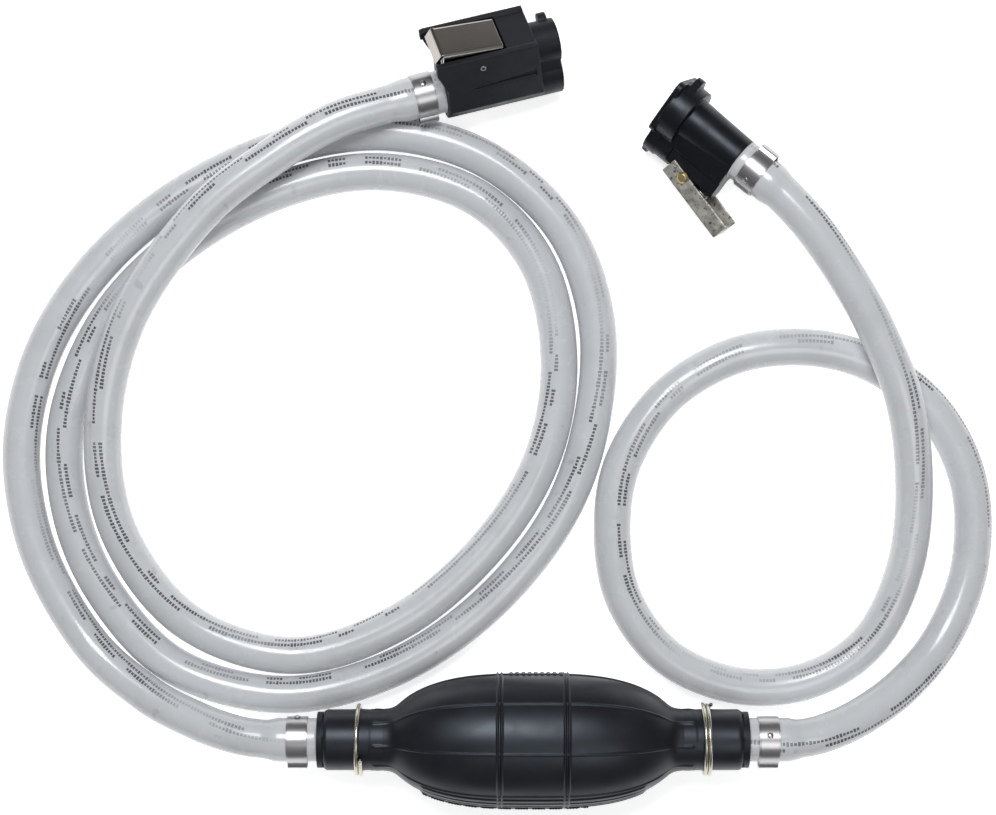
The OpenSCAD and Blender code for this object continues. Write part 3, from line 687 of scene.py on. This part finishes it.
def build_bulb():
    """Rubber bulb as one closed skin: the belly, its ribs and grips, and the two hollow necks."""
    turn = bulb_columns()[None, :]
    body = np.concatenate([np.arange(-85, -67, 0.6), np.arange(-67, 67, 0.33),
                           np.arange(67, 85, 0.6)]) * MM
    x = body[:, None]
    radius = rubber(x)
    height = np.maximum(moulded_ribs(x, turn, radius), tread(x, turn, radius))
    rows = [(along, radius[i, 0] + height[i]) for i, along in enumerate(body)]
    # A neck's lip, its recess for the collar and its bore, as (x, radius) in millimetres
    lip = [(85.3, 12.6), (86.1, 12.3), (86.6, 11.9), (86.6, 11.66), (85.03, 11.66),
           (85.03, 9.45), (72, 9.45)]
    flat = np.zeros(turn.shape[1])
    right = [(along * MM, flat + r * MM) for along, r in lip]
    left = [(-along * MM, flat + r * MM) for along, r in reversed(lip)]
    rows = left + rows + right
    angle = np.radians(turn[0])
    vertices = []
    for along, r in rows:
        across = np.column_stack([np.full(len(angle), along), r * np.sin(angle),
                                  AXIS_Z + r * np.cos(angle)])
        vertices += list(across)
    faces = [tuple(reversed(face)) for face in tube_faces(len(rows), len(angle))]
    return mesh_piece("bulb", vertices, faces)


def press_from_both_sides(bulb):
    """Makes the front of the bulb follow the front grip, and the rear of it the other way."""
    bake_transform(bulb, "line", "front_grip", (0, -BELLY_R, AXIS_Z), (0, BELLY_R, AXIS_Z))
    pressed_half = 60 * MM
    places = np.array([vertex.co for vertex in bulb.data.vertices])
    reach = np.clip(1 - np.abs(places[:, 0]) / pressed_half, 0, 1)
    from_axis = np.hypot(places[:, 1], places[:, 2] - AXIS_Z)
    share = -places[:, 1] / from_axis * reach * reach * (3 - 2 * reach)
    weights = bulb.data.attributes["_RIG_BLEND"]
    weights.data.foreach_set("value", share.astype(np.float32))


bulb = build_bulb()
bulb.data.materials.append(RUBBER)
press_from_both_sides(bulb)
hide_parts("bulb_shell", "front_grip_pad", "rear_grip_pad")


# ---- Wire rings and band clamps ----


def wire_ring(name, place, node, turns, lean):
    """Wire wound round a neck. lean, 1 or -1, says which way it winds along the neck."""
    wire_r = 0.85 * MM
    slack = 0.75 * MM
    end_spring = 0.8 * MM
    end_share = 0.03
    share = np.linspace(0, 1, 160)
    turn = math.pi / 2 + 2 * math.pi * turns * (share - 0.5)
    end = np.clip((end_share - np.minimum(share, 1 - share)) / end_share, 0, 1)
    radius = NECK_R + wire_r + slack + end_spring * end ** 2
    z = WIRE_RING_X + lean * 2 * wire_r * turns * (share - 0.5)
    points = [place @ Vector(point)
              for point in zip(radius * np.cos(turn), radius * np.sin(turn), z)]
    ring = Build(Matrix.Identity(4))
    ring.wire(points, wire_r, 16, place.col[2].xyz)
    piece = finish_piece(ring.piece(name), "ring_wire")
    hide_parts(node)
    return piece


def band(build, inner, thick, low, high, start, end):
    """Adds curved sheet between two turns in degrees, with its z from low to high."""
    turns = np.radians(np.linspace(start, end, 72))
    outer = [((inner + thick) * math.cos(t), (inner + thick) * math.sin(t)) for t in turns]
    inside = [(inner * math.cos(t), inner * math.sin(t)) for t in reversed(turns)]
    build.prism(outer + inside, low, high)


def band_clamp(name, place, node, hand, dimple_turn):
    """Stepless band clamp with a folded ear on its +X side and one locking dimple.

    Its band overlaps on the side that hand, 1 or -1, gives. Turns are in degrees from +X."""
    inner = HOSE_END_R + 0.06 * MM
    outer = inner + CLAMP_THICK
    overlap = 0.3 * MM                 # what shows of the band's outer end
    seam = 12                          # degrees from the ear's middle to the band's ends
    clamp = Build(place)
    band(clamp, inner, CLAMP_THICK, 0, CLAMP_WIDTH, seam, 360 - seam)
    band(clamp, outer, overlap, 0.5 * MM, CLAMP_WIDTH - 0.5 * MM,
         *sorted([18 * hand, 150 * hand]))
    ear_top = outer + 2 * MM
    half_ear = [(outer - 0.3 * MM, -3 * MM), (outer + 0.35 * MM, -2.9 * MM),
                (ear_top - 0.3 * MM, -1.9 * MM), (ear_top, -1.2 * MM)]
    ear = half_ear + [(r, -y) for r, y in reversed(half_ear)]
    inside = [(r - CLAMP_THICK, 0.68 * y) for r, y in reversed(ear)]
    clamp.prism(ear + inside, 0.3 * MM, CLAMP_WIDTH - 0.3 * MM)
    rise = outer + overlap - 0.05 * MM
    dimple = [(0.01 * MM, rise), (1.35 * MM, rise), (1.2 * MM, rise + 0.35 * MM),
              (0.7 * MM, rise + 0.6 * MM), (0.01 * MM, rise + 0.65 * MM)]
    aim = (Matrix.Translation((0, 0, CLAMP_WIDTH / 2))
           @ Matrix.Rotation(math.radians(hand * dimple_turn), 4, "Z")
           @ Matrix.Rotation(math.pi / 2, 4, "Y"))
    clamp.turned(dimple, 24, aim)
    piece = finish_piece(clamp.piece(name, 40), "band_steel")
    round_edges(piece, 0.12 * MM)
    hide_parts(node)
    return piece


def clamp_place(end, turn):
    """Where a clamp starts: end is a frame whose +Z leaves the fitting along its hose."""
    return end @ Matrix.Rotation(math.radians(turn), 4, "Z")


wire_ring("wire_ring_inlet", INLET, "inlet_wire_ring", turns=2.04, lean=1)
wire_ring("wire_ring_outlet", OUTLET, "outlet_wire_ring", turns=1.36, lean=-1)
on_hose = Matrix.Translation((0, 0, HOSE_FACE + CLAMP_GAP))
band_clamp("clamp_inlet", clamp_place(INLET @ on_hose, -90), "inlet_hose_clamp",
           hand=-1, dimple_turn=108)
band_clamp("clamp_outlet", clamp_place(OUTLET @ on_hose, -90), "outlet_hose_clamp",
           hand=1, dimple_turn=168)
behind = (Matrix.Translation((-CLAMP_GAP - CLAMP_WIDTH, 0, 0))
          @ Matrix.Rotation(math.pi / 2, 4, "Y"))
engine_clamp = band_clamp("clamp_engine", clamp_place(ENGINE @ behind, -53),
                          "engine_hose_clamp", hand=-1, dimple_turn=112)
tank_clamp = band_clamp("clamp_tank", clamp_place(TANK @ behind, -97),
                        "tank_hose_clamp", hand=-1, dimple_turn=100)


# ---- Connectors ----


def rounded_node(name, node, slot, voxel, passes, body="line"):
    """Softened copy of a CAD node, with its material and body."""
    return finish_piece(rounded_copy(name, node, voxel, passes), slot, body)


def coil_spring(name, place, node, radius, wire_r, turns, length, pressed_by):
    """Compression spring from z = 0 of place. Its far end moves with the body pressed_by."""
    points_a_turn = 30
    share = np.linspace(0, 1, points_a_turn * turns)
    turn = 2 * math.pi * turns * share
    rise = wire_r + (length - 2 * wire_r) * share
    points = [place @ Vector((radius * math.cos(t), radius * math.sin(t), z))
              for t, z in zip(turn, rise)]
    spring = Build(Matrix.Identity(4))
    spring.wire(points, wire_r, 10, place.col[2].xyz)
    piece = spring.piece(name)
    piece.data.materials.append(SURFACES["valve_spring"])
    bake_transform(piece, "line", pressed_by, place.translation, place @ Vector((0, 0, length)))
    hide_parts(node)
    return piece


def along_x(x):
    """Place of a round piece drawn along Z that lies along X from x."""
    return Matrix.Translation((x, 0, 0)) @ Matrix.Rotation(math.pi / 2, 4, "Y")


LATCH_PIVOT = ENGINE @ Matrix.Translation((15.5 * MM, 0, 19.85 * MM))
LATCH = LATCH_PIVOT @ Matrix.Rotation(math.radians(5), 4, "Y")
# Places for outlines: ACROSS_X draws one in the YZ plane, UPRIGHT draws one in the XZ plane
ACROSS_X = Matrix(((0, 0, 1, 0), (1, 0, 0, 0), (0, 1, 0, 0), (0, 0, 0, 1)))
UPRIGHT = Matrix(((1, 0, 0, 0), (0, 0, -1, 0), (0, 1, 0, 0), (0, 0, 0, 1)))


def arc(middle, radius, start, end, steps=6):
    """Points on an arc between two turns in degrees."""
    turns = np.radians(np.linspace(start, end, steps))
    return [(middle[0] + radius * math.cos(t), middle[1] + radius * math.sin(t)) for t in turns]


def latch_cover():
    """Stamped latch: a plate with folded sides, a lip at its rear, pin lugs and a catch."""
    sheet = LATCH_SHEET
    half = 9.2 * MM
    top = 7.15 * MM
    back = -17.7 * MM
    front = 9.4 * MM
    skirt = 2.8 * MM
    fold = 1.7 * MM
    lip_fold = 1.9 * MM
    cover = Build(LATCH)
    outer = [(half, skirt)] + arc((half - fold, top - fold), fold, 0, 90, 9)
    outer += arc((fold - half, top - fold), fold, 90, 180, 9) + [(-half, skirt)]
    inside = fold - sheet
    inner = [(sheet - half, skirt)] + arc((fold - half, top - fold), inside, 180, 90)
    inner += arc((half - fold, top - fold), inside, 90, 0) + [(half - sheet, skirt)]
    cover.prism(outer + inner, back + 1.6 * MM, front, ACROSS_X)
    bend = (back + 1.7 * MM, top - lip_fold)
    lip = arc(bend, lip_fold, 80, 158)
    lip += [(back - 1.9 * MM, 3 * MM), (back - 0.8 * MM, 2.6 * MM)]
    lip += arc(bend, lip_fold - sheet, 158, 80)
    cover.prism(lip, 0.5 * MM - half, half - 0.5 * MM, UPRIGHT)
    lug_r = 3.5 * MM
    lug_top = 3.2 * MM
    lug = [(-lug_r, lug_top)] + arc((0, 0.6 * MM), lug_r, 190, 350) + [(lug_r, lug_top)]
    for side in (-1, 1):
        cover.prism(lug, *sorted([side * half, side * (half - sheet)]), UPRIGHT)
    catch_end = front - 0.7 * MM
    catch_start = catch_end - sheet
    catch = [(catch_start, -4 * MM), (catch_end, -4 * MM), (catch_end, top - 0.5 * MM),
             (catch_start, top - 0.5 * MM)]
    cover.prism(catch, -3 * MM, 3 * MM, UPRIGHT)
    piece = finish_piece(cover.piece("latch_cover", 35), "latch_steel", "engine_latch")
    round_edges(piece, 0.2 * MM)
    modifier(piece, "WEIGHTED_NORMAL", keep_sharp=True)
    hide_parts("latch_plate")
    return piece


def roll_pin():
    """Hollow rolled pin that the latch turns on."""
    reach = 12.75 * MM
    bore = 0.75 * MM
    outer = 1.3 * MM
    chamfer = 0.2 * MM
    outline = [(bore, -reach), (outer - chamfer, -reach), (outer, chamfer - reach),
               (outer, reach - chamfer), (outer - chamfer, reach), (bore, reach)]
    rolled = Build(LATCH_PIVOT @ Matrix.Rotation(math.pi / 2, 4, "X"))
    rolled.turned(outline, 40)
    piece = finish_piece(rolled.piece("roll_pin", 30), "pin_steel")
    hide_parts("latch_pin")
    return piece


engine_body = rounded_node("engine_housing", "engine_connector_body", "engine_plastic",
                           voxel=0.25 * MM, passes=7)
latch = latch_cover()
pin = roll_pin()
tank_body = rounded_node("tank_housing", "tank_connector_body", "tank_plastic",
                         voxel=0.3 * MM, passes=5)
lever = rounded_node("lever_handle", "release_lever", "lever_steel",
                     voxel=0.2 * MM, passes=5, body="tank_lever")
rivet = rounded_node("lever_rivet", "lever_pin", "brass", voxel=0.12 * MM, passes=4)
press_spring = coil_spring(
    "spring_latch", ENGINE @ Matrix.Translation((4 * MM, 0, 13.1 * MM)), "latch_spring",
    radius=3 * MM, wire_r=0.4 * MM, turns=6, length=13.2 * MM, pressed_by="engine_latch")
lever_pivot = (TANK @ Matrix.Translation((14.3 * MM, 20 * MM, 0))
               @ Matrix.Rotation(math.radians(-14.6), 4, "Z"))
lever_seat = (Matrix.Translation((-9.5 * MM, -4 * MM, 0))
              @ Matrix.Rotation(-math.pi / 2, 4, "X"))
return_spring = coil_spring(
    "spring_lever", lever_pivot @ lever_seat, "lever_spring",
    radius=2.9 * MM, wire_r=0.4 * MM, turns=5, length=7.9 * MM, pressed_by="tank_lever")
engine_valve_spring = coil_spring(
    "spring_engine_poppet", ENGINE @ along_x(12.1 * MM), "engine_poppet_spring",
    radius=3.8 * MM, wire_r=0.4 * MM, turns=8, length=18.8 * MM, pressed_by="engine_valve")
tank_valve_spring = coil_spring(
    "spring_tank_poppet", TANK @ along_x(10.1 * MM), "tank_poppet_spring",
    radius=3.8 * MM, wire_r=0.4 * MM, turns=5, length=10.2 * MM, pressed_by="tank_valve")
inlet_seat = INLET @ Matrix.Translation((0, 0, 63.1 * MM))
coil_spring("spring_inlet", inlet_seat, "inlet_check_spring",
            radius=2.3 * MM, wire_r=0.3 * MM, turns=6, length=15.1 * MM,
            pressed_by="inlet_check")
outlet_seat = (OUTLET @ Matrix.Translation((0, 0, 75.9 * MM))
               @ Matrix.Rotation(math.pi, 4, "X"))
coil_spring("spring_outlet", outlet_seat, "outlet_check_spring",
            radius=2.3 * MM, wire_r=0.3 * MM, turns=5, length=10.1 * MM,
            pressed_by="outlet_check")


# ---- Lists of the parts of each connector ----

engine_parts = [engine_body, latch, pin, engine_clamp, press_spring, engine_valve_spring]
engine_parts += [nodes[name] for name in ("engine_barb", "engine_o_ring", "engine_poppet")]
tank_parts = [tank_body, lever, rivet, tank_clamp, return_spring, tank_valve_spring]
tank_parts += [nodes[name] for name in ("tank_barb", "tank_o_ring", "tank_poppet")]


# ---- Floor, light and camera ----


def build_floor():
    """Wide white floor under the line, lit a little from behind as a light table is."""
    half = 4.0
    corners = [(-half, -half, 0), (half, -half, 0), (half, half, 0), (-half, half, 0)]
    floor = mesh_piece("floor", corners, [(0, 1, 2, 3)])
    surface = Surface("floor_paper", (0.95, 0.95, 0.95), 0.9, Specular_IOR_Level=0.1,
                      Emission_Color=(1, 1, 1, 1), Emission_Strength=0.62)
    floor.data.materials.append(surface.material)


def area_light(name, place, target, size, power, color):
    """Square soft light at place that faces target."""
    light = bpy.data.lights.new(name, "AREA")
    light.size = size
    light.energy = power
    light.color = color
    lamp = bpy.data.objects.new(name, light)
    lamp.location = place
    lamp.rotation_euler = (Vector(target) - Vector(place)).to_track_quat("-Z", "Y").to_euler()
    scene.collection.objects.link(lamp)


def build_camera():
    """Camera straight above the line."""
    height = 1.008
    view_width = 0.4233                # of the plane z = 8 mm, which is 1 m away
    camera = bpy.data.cameras.new("camera")
    camera.sensor_width = 36
    camera.lens = camera.sensor_width / view_width
    holder = bpy.data.objects.new("camera", camera)
    holder.location = (-14.5 * MM, 138.3 * MM, height)
    scene.collection.objects.link(holder)
    scene.camera = holder


def build_world():
    """Studio surroundings, brighter overhead than at the horizon."""
    world = bpy.data.worlds.new("studio")
    world.use_nodes = True
    tree = world.node_tree
    background = tree.nodes["Background"]
    background.inputs["Color"].default_value = (0.96, 0.98, 1, 1)
    direction = tree.nodes.new("ShaderNodeTexCoord")
    split = tree.nodes.new("ShaderNodeSeparateXYZ")
    ramp = tree.nodes.new("ShaderNodeMapRange")
    ramp.inputs["To Min"].default_value = 0.08      # strength at the horizon
    ramp.inputs["To Max"].default_value = 0.3       # strength overhead
    tree.links.new(direction.outputs["Generated"], split.inputs["Vector"])
    tree.links.new(split.outputs["Z"], ramp.inputs["Value"])
    tree.links.new(ramp.outputs["Result"], background.inputs["Strength"])
    scene.world = world


build_floor()
build_camera()
build_world()
scene.view_settings.view_transform = "Standard"
middle = (-0.01, 0.13, 0.0)
area_light("key", (-0.15, 0.75, 1.5), middle, size=0.6, power=16, color=(0.97, 0.98, 1))
area_light("fill", (0.4, -0.5, 1.6), middle, size=0.8, power=5, color=(1, 1, 1))
